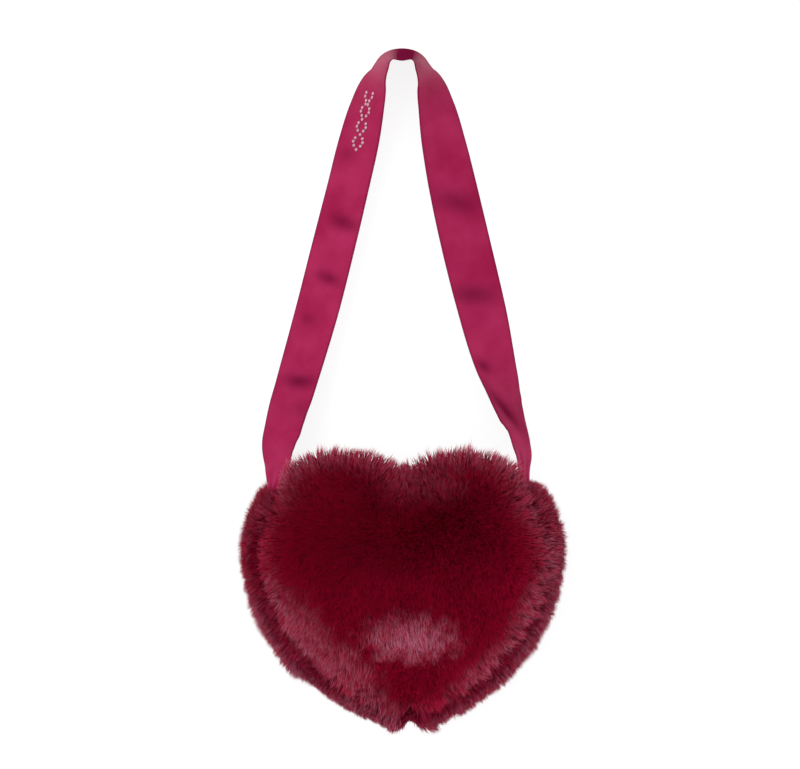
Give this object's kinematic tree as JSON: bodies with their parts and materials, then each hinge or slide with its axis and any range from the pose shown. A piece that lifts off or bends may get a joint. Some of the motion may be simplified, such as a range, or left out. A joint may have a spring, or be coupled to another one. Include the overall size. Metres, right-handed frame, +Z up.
{
  "type": "heart shaped purse",
  "caption": "Heart shaped plush purse with a furry gusset, a zipped mouth between its lobes, a lined compartment and a looped satin ribbon strap.",
  "frame": {"origin": "middle of the heart on the flat back face that the purse lies on", "axes": "+X across the heart, +Y from the heart's tip towards the strap, +Z up out of the front fur"},
  "size_m": [0.236, 0.5141, 0.071],
  "materials": {
    "fur": "long plush pile",
    "wadding": "bonded fibre",
    "lining": "plain woven lining",
    "zip_tape": "herringbone tape",
    "zip_teeth": "moulded",
    "zip_metal": "nickel plated",
    "satin": "double-faced satin",
    "crystal": "faceted, foil backed"
  },
  "bodies": {
    "bag": {"front_fur_panel": "fur", "back_fur_panel": "fur", "gusset_left": "fur", "gusset_right": "fur", "front_wadding": "wadding", "back_wadding": "wadding", "lining_front": "lining", "lining_back": "lining", "lining_gusset": "lining", "zip_end_tab_left": "lining", "zip_end_tab_right": "lining", "zip_tape_front": "zip_tape", "zip_tape_back": "zip_tape", "zip_teeth_front": "zip_teeth", "zip_teeth_back": "zip_teeth", "zip_top_stops": "zip_metal", "zip_bottom_stop": "zip_metal", "strap_end_left": "satin", "strap_end_right": "satin"},
    "strap": {"strap_ribbon": "satin", "strap_crystals": "crystal"},
    "slider": {"zip_slider": "zip_metal"},
    "pull": {"zip_pull": "zip_metal"}
  },
  "joints": [
    {"name": "strap_swing", "type": "hinge", "parent": "bag", "child": "strap", "pos_m": [0, 0.0805, 0.029], "axis": [1, 0, 0], "range_deg": [0, 90]},
    {"name": "zip_slide", "type": "slide", "parent": "bag", "child": "slider", "axis": [-1, 0, 0], "range_m": [0, 0.13], "deforming": ["zip_teeth_front", "zip_teeth_back"]},
    {"name": "pull_flip", "type": "hinge", "parent": "slider", "child": "pull", "pos_m": [0.06599, 0.0678, 0.029], "axis": [0, 0, -1], "range_deg": [0, 175]}
  ]
}
